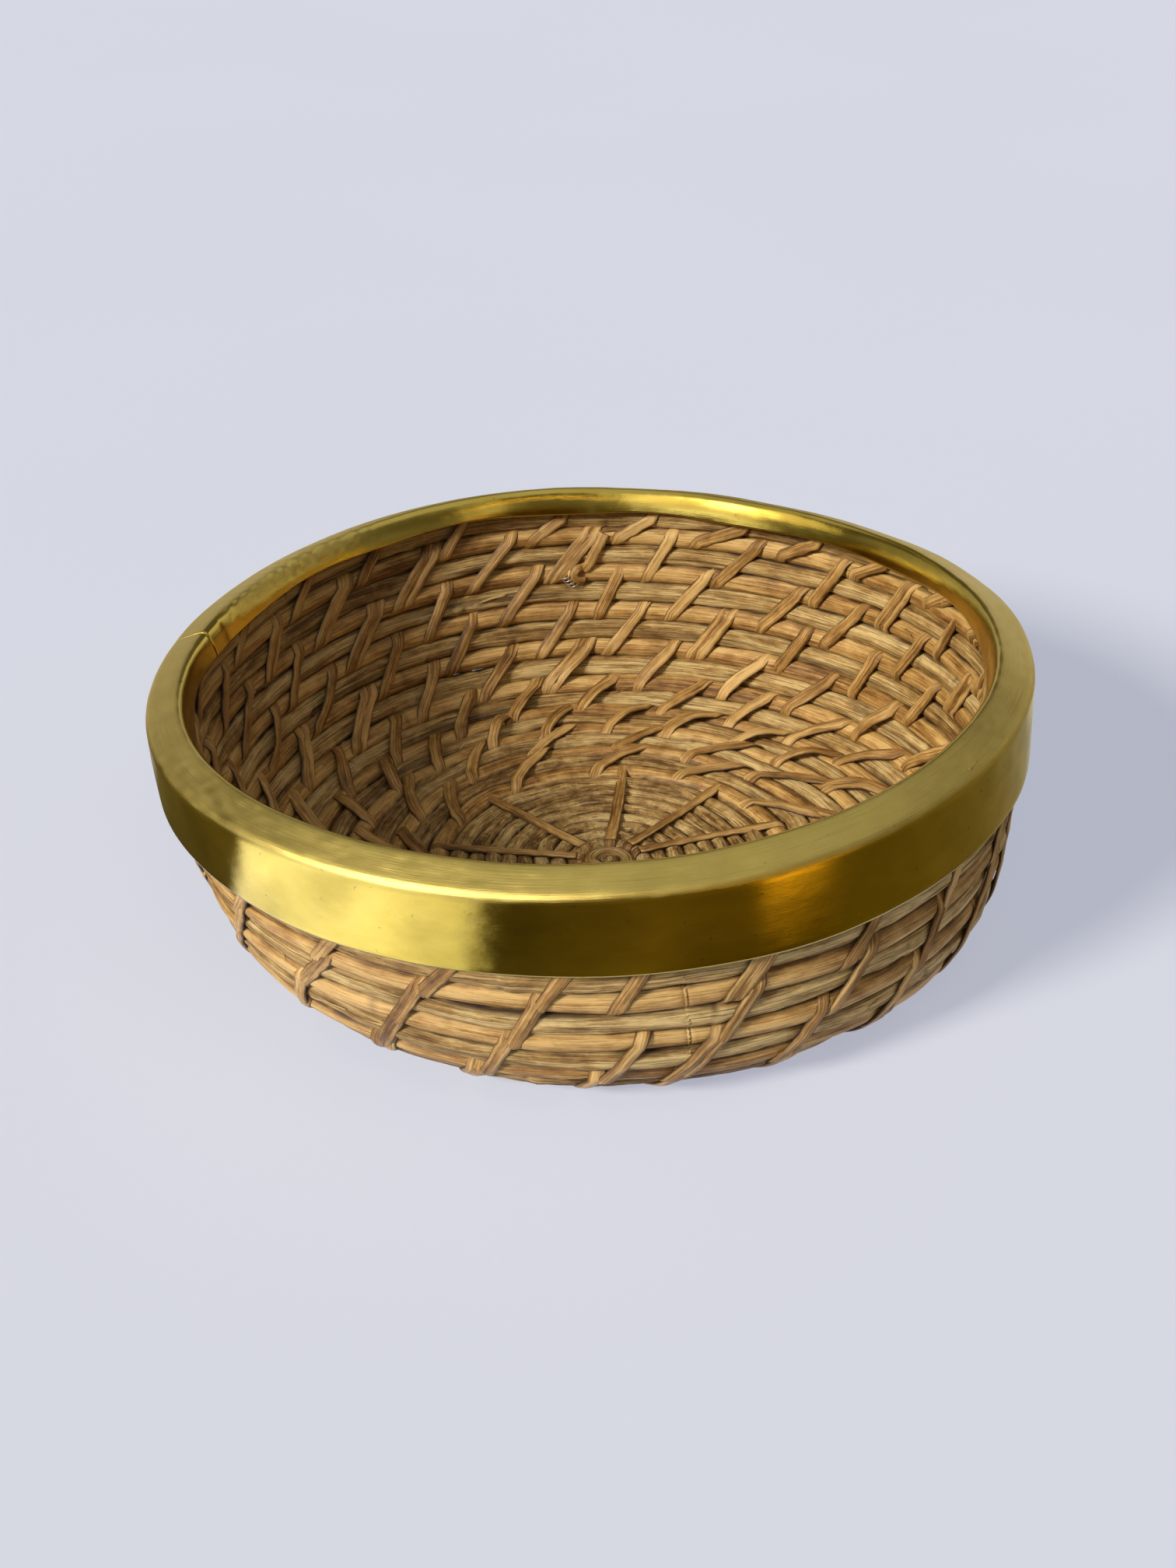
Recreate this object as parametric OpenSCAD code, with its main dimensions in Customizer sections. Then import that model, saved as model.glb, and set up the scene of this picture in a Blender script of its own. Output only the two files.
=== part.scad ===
// Round coiled rattan bowl with a formed brass rim, in millimetres.
// The origin is the middle of the underside; +Z is up, out of the mouth.
//
// The wall is coiled work. A double core, one smooth rod and one split rod, winds outwards
// over the floor and up the wall as one rising spiral. Flat cane is wrapped round each turn
// of the core and round the smooth rod of the turn below, which sews the turns together.
// A brass channel is pressed over the top turns.

/* [Overall] */
// Outside diameter of the brass band
rim_d = 300; // [296:1:306]
// Height from the underside to the top of the rim
bowl_h = 95; // [95:1:105]

/* [Brass rim] */
// Thickness of the brass sheet
brass_t = 0.8; // [0.5:0.1:1]
// Width of the rim, from inner lip to outer band
rim_w = 14; // [13.6:0.1:15]
// Height of the outer band
band_h = 32; // [24:1:36]
// Height of the inner lip
lip_h = 9; // [8:0.5:12]
// Radius of the rim's rounded top edges
rim_round = 5.5; // [4:0.1:6.5]

/* [Core rods] */
// Diameter of the core rods in the wall
rod_d = 6.8; // [6:0.1:6.8]
// Spacing of the core rods along the wall's section
rod_pitch = 8.2; // [8.2:0.05:8.3]
// Diameter of the thin core rod in the middle of the floor
thin_d = 5.8; // [5:0.1:5.8]
// Spacing of the thin turns
thin_pitch = 6.1; // [6.1:0.05:6.2]

/* [Binding cane] */
// Thickness of the flat cane
cane_t = 1; // [0.6:0.1:1]
// Width of the flat cane that sews the turns
cane_w = 4.8; // [3:0.1:5]
// Width of the nine straps that cross the floor
strap_w = 3.6; // [2.5:0.1:3.6]

/* [Wall section] */
// Radius of the flat part of the floor, to the rods' centres
floor_r = 110; // [108:0.5:110]
// Radius of the bend between floor and wall
corner_r = 28; // [28:0.5:30]

/* [Hidden] */
slack = 0.1;                    // free play between the cane and the rods inside it
core_z = cane_t + slack + rod_d / 2;        // centre height of the rods that rest on the cane
thin_z = cane_t + slack + 3;                // the same for the thinner turns
corner_angle = 80;              // the bend turns the section this far up from the floor
wall_bend = 350;                // radius of the wall's slight outward bow
corner_len = corner_r * corner_angle * PI / 180;
wall_len = wall_bend * (90 - corner_angle) * PI / 180;

seam = -80;                     // azimuth where every turn starts; turns run clockwise from above
straps = 9;                     // straps that cross the floor
strap_first = 24;               // turn angle of the first strap, past the seam
thin_turns = 7;                 // evenly spaced thin turns outside the middle knot
rods = 19;                      // turns of the double core: odd ones are smooth rod, even ones split
knot_d = 5;                     // rod diameter of the knot at the middle of the floor
first_d = 6;                    // smooth rod where the double core begins
tail_d = 4.2;                   // shaved-down start of the split rod
lead_d = 5.6;                   // the split rod after its shaved start
swell = 0.09;                   // how far the half turn's joint stands out from the rod
joint_cut = 0.4;                // how far each half ends before the joint's middle
cap_steps = 8;                  // flats round each end of a wrap
last_d = 5;                     // smooth rod of the top turn, a half turn under the brass

thin_start = knot_d + slack + slack + cane_t + thin_d / 2 + 0.4;     // section length at the first thin turn
thin_end = thin_start + thin_turns * thin_pitch;
gap_end = thin_end + thin_pitch + cane_t;           // one wider turn leaves room for the cane
double_start = gap_end + rod_pitch + 4.5;           // section length at which the third rod starts
tail_start = double_start - rod_d / 2 - slack - tail_d / 2;

// Wraps in each sewn row, outwards from the floor, and each row's first turn angle.
row_wraps = [12, 16, 24, 24, 24, 24, 24, 24, 24];
row_first = [15, 18.75, 0, 10.6, 21.2, 31.8, 42.4, 53, 63.6];

brass = [0.80, 0.66, 0.27];
smooth_rattan = [0.74, 0.53, 0.30];
split_rattan = [0.78, 0.63, 0.40];
cane = [0.63, 0.43, 0.22];

$fn = 72;

// ---- The wall's section: a flat floor, a bend, and a slightly bowed wall ----

function clamp01(x) = min(1, max(0, x));

// Height of a rod's centre on the floor: the thin turns lie a little lower.
function floor_z(s) = thin_z + (core_z - thin_z) * clamp01((s - gap_end) / (tail_start - gap_end));

// The bend's far end.
function corner_end() = [floor_r + corner_r * sin(corner_angle),
                         core_z + corner_r * (1 - cos(corner_angle))];

// Point [radius, height] at length s along the section, measured from the middle of the floor.
function section(s) =
    s <= floor_r ? [s, floor_z(s)]
    : s <= floor_r + corner_len ? bend_point((s - floor_r) / corner_r * 180 / PI)
    : wall_point(s - floor_r - corner_len);
function bend_point(a) = [floor_r + corner_r * sin(a), core_z + corner_r * (1 - cos(a))];
function wall_point(t) =
    let (a = min(t, wall_len) / wall_bend * 180 / PI,
         rise = max(0, t - wall_len))
    corner_end() + [wall_bend * (cos(90 - corner_angle - a) - cos(90 - corner_angle)),
                    wall_bend * (sin(90 - corner_angle) - sin(90 - corner_angle - a)) + rise];

// ---- The spiral core ----

// Where a turn stands along the section at its start, its half turn and its end.
function thin_stations(i) =
    i <= thin_turns ? [for (h = [0:2]) thin_start + (i - 1 + h / 2) * thin_pitch]
    : [thin_end, (thin_end + gap_end) / 2, gap_end];
function rod_stations(j) =
    j == 1 ? [gap_end, double_start - rod_pitch, double_start]
    : j == 2 ? [tail_start, double_start, double_start + rod_pitch]
    : [for (h = [-1:1]) double_start + (j - 2 + h) * rod_pitch];
function rod_size(j) = j == 1 ? first_d : j == 2 ? lead_d : j == rods ? last_d : rod_d;

// Centre of a turn at turn angle phi, which runs from 0 at the seam to 360.
function turn_point(stations, phi) =
    let (h = phi < 180 ? 0 : 1,
         w = (1 - cos(phi - 180 * h)) / 2)
    section(stations[h]) * (1 - w) + section(stations[h + 1]) * w;

// A half turn of rod, from section length s0 to s1, starting at turn angle phi0.
// It is a tilted half ring whose centre is off the axis, so its ends meet the next half's.
// near and far are how much shorter each end is, along the rod.
module half_turn(s0, s1, phi0, d, near = 0, far = 0) {
    a = section(s0);
    b = section(s1);
    across = norm([a[0] + b[0], b[1] - a[1]]);
    degree = across / 2 * PI / 180;
    rotate([0, 0, seam - phi0])
        translate([(a[0] - b[0]) / 2, 0, (a[1] + b[1]) / 2])
            rotate([0, asin((b[1] - a[1]) / across), 0])
                rotate([0, 0, far / degree - 180])
                    rotate_extrude(angle = 180 - (near + far) / degree)
                        translate([across / 2, 0])
                            circle(d = d, $fn = 32);
}

// The slight swelling at the half turn, round the ends of both halves.
module half_joint(s, d) {
    p = section(s);
    rotate([0, 0, seam - 180])
        translate([p[0], 0, p[1]])
            sphere(d = d + 2 * swell, $fn = 32);
}

module full_turn(stations, d1, d2) {
    half_turn(stations[0], stations[1], 0, d1, far = joint_cut);
    half_turn(stations[1], stations[2], 180, d2, near = joint_cut);
    half_joint(stations[1], d2);
}

module floor_knot() {
    color(smooth_rattan)
        translate([0, 0, thin_z])
            rotate_extrude()
                translate([knot_d / 2 + slack, 0])
                    circle(d = knot_d, $fn = 32);
}

module floor_turn(i) {
    color(split_rattan)
        full_turn(thin_stations(i), thin_d, thin_d);
}

module smooth_rod(j) {
    stations = rod_stations(j);
    color(smooth_rattan)
        if (j == rods)
            half_turn(stations[0], stations[1], 0, last_d);
        else
            full_turn(stations, rod_size(j), rod_size(j));
}

module split_rod(j) {
    color(split_rattan)
        full_turn(rod_stations(j), j == 2 ? tail_d : rod_d, rod_size(j));
}

// ---- The cane ----

function unit(v) = v / norm(v);
function heading(v) = atan2(v[1], v[0]);

// Sideways direction at rod i of a row of rods, lengthened where the row bends.
function mitre(points, i) =
    let (n = len(points),
         a = unit(points[max(i, 1)] - points[max(i, 1) - 1]),
         b = unit(points[min(i + 1, n - 1)] - points[min(i + 1, n - 1) - 1]),
         m = unit(a + b))
    [-m[1], m[0]] / (m * a);

// Half circle round an end rod, clockwise from the start angle.
function cap(c, r, start) =
    [for (k = [1:cap_steps - 1])
        let (t = start - 180 * k / cap_steps)
        c + r * [cos(t), sin(t)]];

// Outline drawn tight round a row of rods with these centres and radii.
function outline(points, radii) =
    let (n = len(points))
    concat([for (i = [0:n - 1]) points[i] + mitre(points, i) * radii[i]],
           cap(points[n - 1], radii[n - 1], heading(points[n - 1] - points[n - 2]) + 90),
           [for (i = [n - 1:-1:0]) points[i] - mitre(points, i) * radii[i]],
           cap(points[0], radii[0], heading(points[1] - points[0]) - 90));

// One closed wrap of cane round the rods at these centres, at turn angle phi.
module wrap(points, radii, phi, w) {
    rotate([0, 0, seam - phi])
        rotate([90, 0, 0])
            linear_extrude(height = w, center = true)
                difference() {
                    polygon(outline(points, [for (r = radii) r + slack + cane_t]));
                    polygon(outline(points, [for (r = radii) r + slack]));
                }
}

// True where the top turn has already ended, so the top row holds two rods instead of three.
function past_last(phi) = phi > 177;

function row_rods(k, phi) =
    k == len(row_wraps) && past_last(phi) ? [rods - 2, rods - 1] : [2 * k - 1, 2 * k, 2 * k + 1];

function rod_point(j, phi) =
    j == rods && phi > 180 ? section(rod_stations(j)[1]) : turn_point(rod_stations(j), phi);

module cane_row(k) {
    color(cane)
        for (i = [0:row_wraps[k - 1] - 1]) {
            phi = (row_first[k - 1] + i * 360 / row_wraps[k - 1]) % 360;
            held = row_rods(k, phi);
            wrap([for (j = held) rod_point(j, phi)],
                 [for (j = held) (j == 1 ? first_d : rod_d) / 2], phi, cane_w);
        }
}

module floor_straps() {
    color(cane)
        for (i = [0:straps - 1]) {
            phi = strap_first + i * 360 / straps;
            inner = turn_point(thin_stations(1), phi)[0];
            outer = turn_point(rod_stations(1), phi)[0];
            wrap([[inner, thin_z], [outer, thin_z]], [thin_d / 2 + 0.1, first_d / 2], phi, strap_w);
        }
}

// ---- The brass rim ----

// Section of a bar with a rounded top, from radius x0 to x1 and from height z0 up to z1.
module rounded_bar(x0, x1, z0, z1, r) {
    translate([x0, z0]) square([x1 - x0, z1 - r - z0]);
    translate([x0 + r, z1 - 2 * r]) square([x1 - x0 - 2 * r, 2 * r]);
    translate([x0 + r, z1 - r]) circle(r = r);
    translate([x1 - r, z1 - r]) circle(r = r);
}

module brass_rim() {
    out_r = rim_d / 2;
    in_r = out_r - rim_w;
    color(brass)
        rotate_extrude()
            difference() {
                rounded_bar(in_r, out_r, bowl_h - band_h, bowl_h, rim_round);
                rounded_bar(in_r + brass_t, out_r - brass_t, bowl_h - band_h - 1,
                            bowl_h - brass_t, rim_round - brass_t);
                translate([in_r - 1, bowl_h - band_h - 1])
                    square([brass_t + 2, band_h - lip_h + 1]);
            }
}

// ---- Nodes ----

brass_rim();
floor_knot();
floor_turn(1);  // floor_turn_1
floor_turn(2);  // floor_turn_2
floor_turn(3);  // floor_turn_3
floor_turn(4);  // floor_turn_4
floor_turn(5);  // floor_turn_5
floor_turn(6);  // floor_turn_6
floor_turn(7);  // floor_turn_7
floor_turn(8);  // floor_turn_8
smooth_rod(1);  // smooth_rod_01
split_rod(2);  // split_rod_02
smooth_rod(3);  // smooth_rod_03
split_rod(4);  // split_rod_04
smooth_rod(5);  // smooth_rod_05
split_rod(6);  // split_rod_06
smooth_rod(7);  // smooth_rod_07
split_rod(8);  // split_rod_08
smooth_rod(9);  // smooth_rod_09
split_rod(10);  // split_rod_10
smooth_rod(11);  // smooth_rod_11
split_rod(12);  // split_rod_12
smooth_rod(13);  // smooth_rod_13
split_rod(14);  // split_rod_14
smooth_rod(15);  // smooth_rod_15
split_rod(16);  // split_rod_16
smooth_rod(17);  // smooth_rod_17
split_rod(18);  // split_rod_18
smooth_rod(19);  // smooth_rod_19
floor_straps();
cane_row(1);  // cane_row_1
cane_row(2);  // cane_row_2
cane_row(3);  // cane_row_3
cane_row(4);  // cane_row_4
cane_row(5);  // cane_row_5
cane_row(6);  // cane_row_6
cane_row(7);  // cane_row_7
cane_row(8);  // cane_row_8
cane_row(9);  // cane_row_9
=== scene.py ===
"""Coiled rattan bowl with a brass rim. Lengths in mm until a mesh is made, then metres."""

import math

import bpy
import numpy as np
from mathutils import Matrix, Vector


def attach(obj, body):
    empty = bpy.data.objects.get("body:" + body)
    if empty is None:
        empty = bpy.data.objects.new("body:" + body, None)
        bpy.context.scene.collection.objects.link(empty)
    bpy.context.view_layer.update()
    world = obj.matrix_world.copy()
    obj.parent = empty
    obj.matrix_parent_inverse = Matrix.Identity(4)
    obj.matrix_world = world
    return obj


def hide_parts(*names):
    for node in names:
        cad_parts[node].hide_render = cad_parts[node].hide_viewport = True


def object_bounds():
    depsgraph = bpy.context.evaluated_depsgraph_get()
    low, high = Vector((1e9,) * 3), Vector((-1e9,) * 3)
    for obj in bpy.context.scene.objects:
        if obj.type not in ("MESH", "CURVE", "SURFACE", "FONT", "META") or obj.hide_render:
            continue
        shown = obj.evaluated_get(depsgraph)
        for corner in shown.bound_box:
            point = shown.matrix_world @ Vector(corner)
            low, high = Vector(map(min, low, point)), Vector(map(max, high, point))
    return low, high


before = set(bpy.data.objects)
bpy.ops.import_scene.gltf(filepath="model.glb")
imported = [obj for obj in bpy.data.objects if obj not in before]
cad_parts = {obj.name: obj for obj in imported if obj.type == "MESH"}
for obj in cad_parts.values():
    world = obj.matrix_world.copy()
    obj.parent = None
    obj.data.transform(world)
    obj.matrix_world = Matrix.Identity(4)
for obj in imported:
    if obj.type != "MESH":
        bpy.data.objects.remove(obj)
cad_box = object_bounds()
RAD = math.pi / 180

# ------------------------------------------------------------------ the coil, as part.scad lays it
CORE_Z, THIN_Z = 4.5, 4.1           # centre heights of the double core and of the thin turns
FLOOR_R, CORNER_R, CORNER_A = 110.0, 28.0, 80 * RAD
WALL_BEND = 350.0                   # radius of the wall's slight outward bow
CORNER_LEN = CORNER_R * CORNER_A
WALL_LEN = WALL_BEND * (math.pi / 2 - CORNER_A)
THIN_START, THIN_PITCH, THIN_TURNS = 9.5, 6.1, 7
THIN_END = THIN_START + THIN_TURNS * THIN_PITCH
GAP_END = THIN_END + THIN_PITCH + 1.0
PITCH, RODS = 8.2, 19
ROD_D, TAIL_D, SLACK = 6.8, 4.2, 0.1
DOUBLE_START = GAP_END + PITCH + 4.5
TAIL_START = DOUBLE_START - ROD_D / 2 - SLACK - TAIL_D / 2
SEAM = -80.0                        # azimuth where every turn starts; turns run clockwise from above
ROW_WRAPS = [12, 16, 24, 24, 24, 24, 24, 24, 24]
ROW_FIRST = [15, 18.75, 0, 10.6, 21.2, 31.8, 42.4, 53, 63.6]
RIM_R = (cad_box[1][0] - cad_box[0][0]) * 500
RIM_Z = cad_box[1][2] * 1000

# ------------------------------------------------------------------ what only the visual has
NOMINAL_R = 150                     # the rim's radius, as the measured waves below take it
LEVEL_Z = 4                         # the bowl is level and round up to here
OVAL, OVAL_AT = 0.014, 1.148        # out of round by this share, narrowest at this azimuth (radians)
FLOOR_SHIFT = 6.5                   # the floor lies this far to +x of the rim
RIM_GAP, BAND_GAP = 1.1, 1.2        # room under the channel's top and inside its band
TABLE_Z, STRIP_Z = 0.03, 0.02       # nothing goes lower than these
TURN_WAVE = 880.0                   # length of strand that a turn's waves and fibres take up
THIN_SIZE, SMOOTH_SIZE, SPLIT_SIZE = (3.3, 2.85), (4.42, 3.85), (4.52, 3.65)
FIRST_SIZE, LAST_SIZE = (3.85, 3.05), (2.9, 2.5)
TAIL_FROM = -185                    # turn angle where the split rod's thin tail begins
# Turn angles and sizes where a rod swells or thins to fill the room between its neighbours.
THIN_TAPER = ([0, 90, 180, 360], [1.10, 1.16, 1.22, 1.24])
FIRST_TAPER = ([0, 90, 180, 270, 360], [1.09, 1.15, 1.25, 1.23, 1.18])
TAIL_TAPER = ([TAIL_FROM, -130, -60, 0, 90, 180, 230], [0.1, 0.27, 0.56, 0.71, 0.88, 0.99, 1.0])
CANE_WIDTH, CANE_THICK = 5.1, 1.2
CANE_OFF = 3.7 + 0.55               # from a rod's centre to the middle of the cane over it
LEANS = [21.0, 15.5, 10.0, 8.8, 8.3, 8.3, 8.3, 8.3, 8.3]     # degrees a strip leans, rising inside
DOUBLED = 0.14                      # share of the wraps that have a second strip beside them
STRAPS = [24, 68, 108, 144, 199, 235, 260, 300, 342]         # turn angles
STRAP_WIDTH, STRAP_THICK = 4.3, 0.9
LAP = 165.0 * RAD                   # azimuth where the channel's ends meet
CRUMPLED_AT = 143                   # azimuth (degrees) of the dented patch beside it
BRASS_SKIN = 0.8
KNOT_Z, FIBRES = 55.0, 90

# Outer face of the channel, from the band's lower edge, over the top, to the lip's edge:
# each point's distance in from RIM_R and down from RIM_Z.
RIM_SECTION = [(0.2, 32.0), (0, 31.3), (-0.1, 24.0), (-0.1, 16.0), (0, 10.0), (0.05, 6.8), (0.15, 5.8),
               (0.5, 4.8), (1.15, 4.0), (2.1, 3.5), (3.6, 2.9), (6.0, 1.9), (8.4, 0.9), (10.2, 0.25),
               (11.4, 0.02), (12.3, 0.25), (13.0, 0.95), (13.6, 2.0), (14.5, 3.8), (15.3, 6.0),
               (16.0, 8.8)]
RIM_PROFILE = np.array([(RIM_R - inward, RIM_Z - down) for inward, down in RIM_SECTION])
RIM_TOP = RIM_PROFILE[9:17]


def section(s):
    """Radius, height and slope angle at length s along the wall's section."""
    s = np.asarray(s, float)
    a = np.clip((s - FLOOR_R) / CORNER_R, 0, CORNER_A)
    t = s - FLOOR_R - CORNER_LEN
    b = np.clip(t, 0, WALL_LEN) / WALL_BEND
    over = np.maximum(t - WALL_LEN, 0)
    lift = THIN_Z + (CORE_Z - THIN_Z) * np.clip((s - GAP_END) / (TAIL_START - GAP_END), 0, 1)
    r = np.minimum(s, FLOOR_R) + CORNER_R * np.sin(a)
    r = r + WALL_BEND * (np.cos(math.pi / 2 - CORNER_A - b) - np.cos(math.pi / 2 - CORNER_A))
    z = lift + CORNER_R * (1 - np.cos(a)) + over
    z = z + WALL_BEND * (math.sin(math.pi / 2 - CORNER_A) - np.sin(math.pi / 2 - CORNER_A - b))
    return r, z, a + b


def rim_lift(th):
    """How far the hand-worked rim rises above or falls below its nominal height."""
    return NOMINAL_R * (0.0452 * np.cos(th) - 0.0024 * np.sin(th) - 0.0018 * np.cos(2 * th)
                        - 0.0063 * np.sin(2 * th) + 0.0081 * np.cos(3 * th) - 0.005 * np.sin(3 * th))


def handmade(p):
    """The bowl's tilt and out-of-round, growing from nothing at the floor to full at the rim,
    and the floor's shift to one side."""
    x, y, z = p[..., 0], p[..., 1], p[..., 2]
    th = np.arctan2(y, x)
    k = np.clip((z - LEVEL_Z) / (RIM_Z - LEVEL_Z), 0, 1.2)
    k = k * k * (3 - 2 * np.clip(k, 0, 1))
    grow = 1 - OVAL * np.cos(2 * (th - OVAL_AT)) * k
    z = np.maximum(z + rim_lift(th) * k, TABLE_Z)
    return np.stack([x * grow + FLOOR_SHIFT * (1 - np.clip(k, 0, 1)), y * grow, z], -1)


def under_rim(p):
    """Keeps what is inside the channel clear of its skin."""
    r = np.hypot(p[..., 0], p[..., 1])
    top = np.interp(-r, -RIM_TOP[:, 0], RIM_TOP[:, 1]) - RIM_GAP
    z = np.where(r > RIM_TOP[-1, 0], np.minimum(p[..., 2], top), p[..., 2])
    k = np.minimum(1, (RIM_R - BAND_GAP) / r)
    return np.stack([p[..., 0] * k, p[..., 1] * k, z], -1)


def place(phi, s, h, side=None, up=None):
    """Points at turn angle phi (degrees), section length s, height h above the section.
    side and up move a point along and off the section, straight from (s, h)."""
    r, z, a = section(s)
    if side is not None:
        r = r + side * np.cos(a)
        z = z + side * np.sin(a)
        h = h + up
    r = r - h * np.sin(a)
    z = z + h * np.cos(a)
    th = (SEAM - phi) * RAD
    r, z, th = np.broadcast_arrays(r, z, th)
    return np.stack([r * np.cos(th), r * np.sin(th), z], -1)


class Waves:
    """Smooth seeded wandering: a sum of sines of x, and of the angle a round a rod."""

    def __init__(self, seed, n, shortest, longest, round_=0):
        rng = np.random.default_rng(seed)
        self.k = 2 * math.pi / np.exp(rng.uniform(math.log(shortest), math.log(longest), n))
        self.m = rng.integers(-round_, round_ + 1, n)
        self.p = rng.uniform(0, 2 * math.pi, n)
        self.g = 1 / math.sqrt(n / 2)

    def __call__(self, x, a=0.0):
        x, a = np.broadcast_arrays(np.asarray(x, float), np.asarray(a, float))
        out = np.zeros(x.shape)
        for k, m, p in zip(self.k, self.m, self.p):
            out += np.sin(k * x + m * a + p)
        return out * self.g


# ------------------------------------------------------------------ meshes
# A part is (verts, faces, grain, tone): grain is a place in the fibre, x along it, and tone is
# how dark a point is with marks of the fibre or with painted shade, or how satin on the brass.
def make_mesh(name, part, mat, node=None):
    """A piece made of a part, standing for a CAD node if one is named."""
    verts, faces, grain, tone = part
    me = bpy.data.meshes.new(name)
    verts = np.asarray(verts, np.float64).reshape(-1, 3) * 0.001
    me.from_pydata(verts.tolist(), [], faces)
    me.validate()
    at = me.attributes.new("grain", "FLOAT_VECTOR", "POINT")
    at.data.foreach_set("vector", np.asarray(grain, np.float32).reshape(-1))
    at = me.attributes.new("tone", "FLOAT", "POINT")
    at.data.foreach_set("value", np.asarray(tone, np.float32).reshape(-1))
    me.shade_smooth()
    me.materials.append(mat)
    ob = bpy.data.objects.new(name, me)
    bpy.context.scene.collection.objects.link(ob)
    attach(ob, "root")
    if node:
        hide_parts(node)


def stack(*values):
    """Vectors from values of unlike shapes."""
    return np.stack(np.broadcast_arrays(*values), -1)


def around(m):
    """m angles round a tube."""
    return np.linspace(0, 2 * math.pi, m, endpoint=False)


def lengths(p):
    """Length along a line of points, from its start."""
    return np.concatenate([[0], np.cumsum(np.linalg.norm(np.diff(p, axis=0), axis=1))])


def unit(v, least=0.0):
    return v / (np.linalg.norm(v, axis=1, keepdims=True) + least)


def tube_faces(n, m):
    """Quads of a tube of n rings of m points, with its ends closed."""
    f = []
    for i in range(n - 1):
        a, b = i * m, (i + 1) * m
        for j in range(m):
            k = (j + 1) % m
            f.append((a + j, b + j, b + k, a + k))
    f.append(tuple(range(m)))
    f.append(tuple((n - 1) * m + j for j in reversed(range(m))))
    return f


def join_parts(parts):
    v, f, g, t, n = [], [], [], [], 0
    for pv, pf, pg, pt in parts:
        pv = np.asarray(pv).reshape(-1, 3)
        v.append(pv)
        f += [tuple(i + n for i in q) for q in pf]
        g.append(np.asarray(pg).reshape(-1, 3))
        t.append(np.asarray(pt).reshape(-1))
        n += len(pv)
    return np.concatenate(v), f, np.concatenate(g), np.concatenate(t)


# ------------------------------------------------------------------ materials
class Nodes:
    """Short names for building a material."""

    def __init__(self, name):
        self.mat = bpy.data.materials.new(name)
        self.mat.use_nodes = True
        self.t = self.mat.node_tree
        self.bsdf = self.t.nodes["Principled BSDF"]

    def new(self, kind, **kw):
        n = self.t.nodes.new(kind)
        for k, v in kw.items():
            setattr(n, k, v)
        return n

    def link(self, a, b):
        self.t.links.new(a, b)

    def put(self, socket, v):
        """Links v to a socket, or sets it there if it is a number or a colour."""
        if hasattr(v, "is_output"):
            self.link(v, socket)
        elif isinstance(v, tuple) and len(v) == 3 and socket.type == "RGBA":
            socket.default_value = (*v, 1)
        else:
            socket.default_value = v

    def surface(self, **kw):
        """Sets the shader's sockets, with _ for each space in their names."""
        for k, v in kw.items():
            self.put(self.bsdf.inputs[k.replace("_", " ")], v)

    def glow(self, color):
        """Makes the surface shine by itself and nothing else."""
        em = self.new("ShaderNodeEmission")
        self.link(color, em.inputs["Color"])
        self.link(em.outputs[0], self.t.nodes["Material Output"].inputs["Surface"])

    def attribute(self, name, out):
        return self.new("ShaderNodeAttribute", attribute_name=name).outputs[out]

    def coords(self):
        return self.new("ShaderNodeTexCoord").outputs["Object"]

    def noise(self, vec, xyz, detail, rough):
        """Noise that changes xyz times a unit of vec."""
        scaled = self.new("ShaderNodeMapping")
        scaled.inputs["Scale"].default_value = xyz
        self.link(vec, scaled.inputs["Vector"])
        n = self.new("ShaderNodeTexNoise")
        n.inputs["Scale"].default_value = 1.0
        n.inputs["Detail"].default_value = detail
        n.inputs["Roughness"].default_value = rough
        self.link(scaled.outputs["Vector"], n.inputs["Vector"])
        return n.outputs["Fac"]

    def ramp(self, fac, stops):
        n = self.new("ShaderNodeValToRGB")
        el = n.color_ramp.elements
        while len(el) < len(stops):
            el.new(0.5)
        for e, (p, c) in zip(el, stops):
            e.position = p
            e.color = (*c, 1)
        self.link(fac, n.inputs["Fac"])
        return n.outputs["Color"]

    def mix(self, fac, a, b, mode="MIX"):
        n = self.new("ShaderNodeMix", data_type="RGBA", blend_type=mode)
        for s, v in ((n.inputs["Factor"], fac), (n.inputs["A"], a), (n.inputs["B"], b)):
            self.put(s, v)
        return n.outputs["Result"]

    def math(self, op, a, b, clamp=False):
        n = self.new("ShaderNodeMath", operation=op, use_clamp=clamp)
        self.put(n.inputs[0], a)
        self.put(n.inputs[1], b)
        return n.outputs["Value"]

    def bump(self, height, strength, distance, normal=None):
        n = self.new("ShaderNodeBump")
        self.put(n.inputs["Strength"], strength)
        n.inputs["Distance"].default_value = distance
        self.link(height, n.inputs["Height"])
        if normal is not None:
            self.link(normal, n.inputs["Normal"])
        return n.outputs["Normal"]


def srgb(r, g, b):
    return tuple(((c / 255 + 0.055) / 1.055) ** 2.4 if c > 10 else c / 3294.6 for c in (r, g, b))


WHITE, BLACK = (1, 1, 1), (0, 0, 0)


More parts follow.
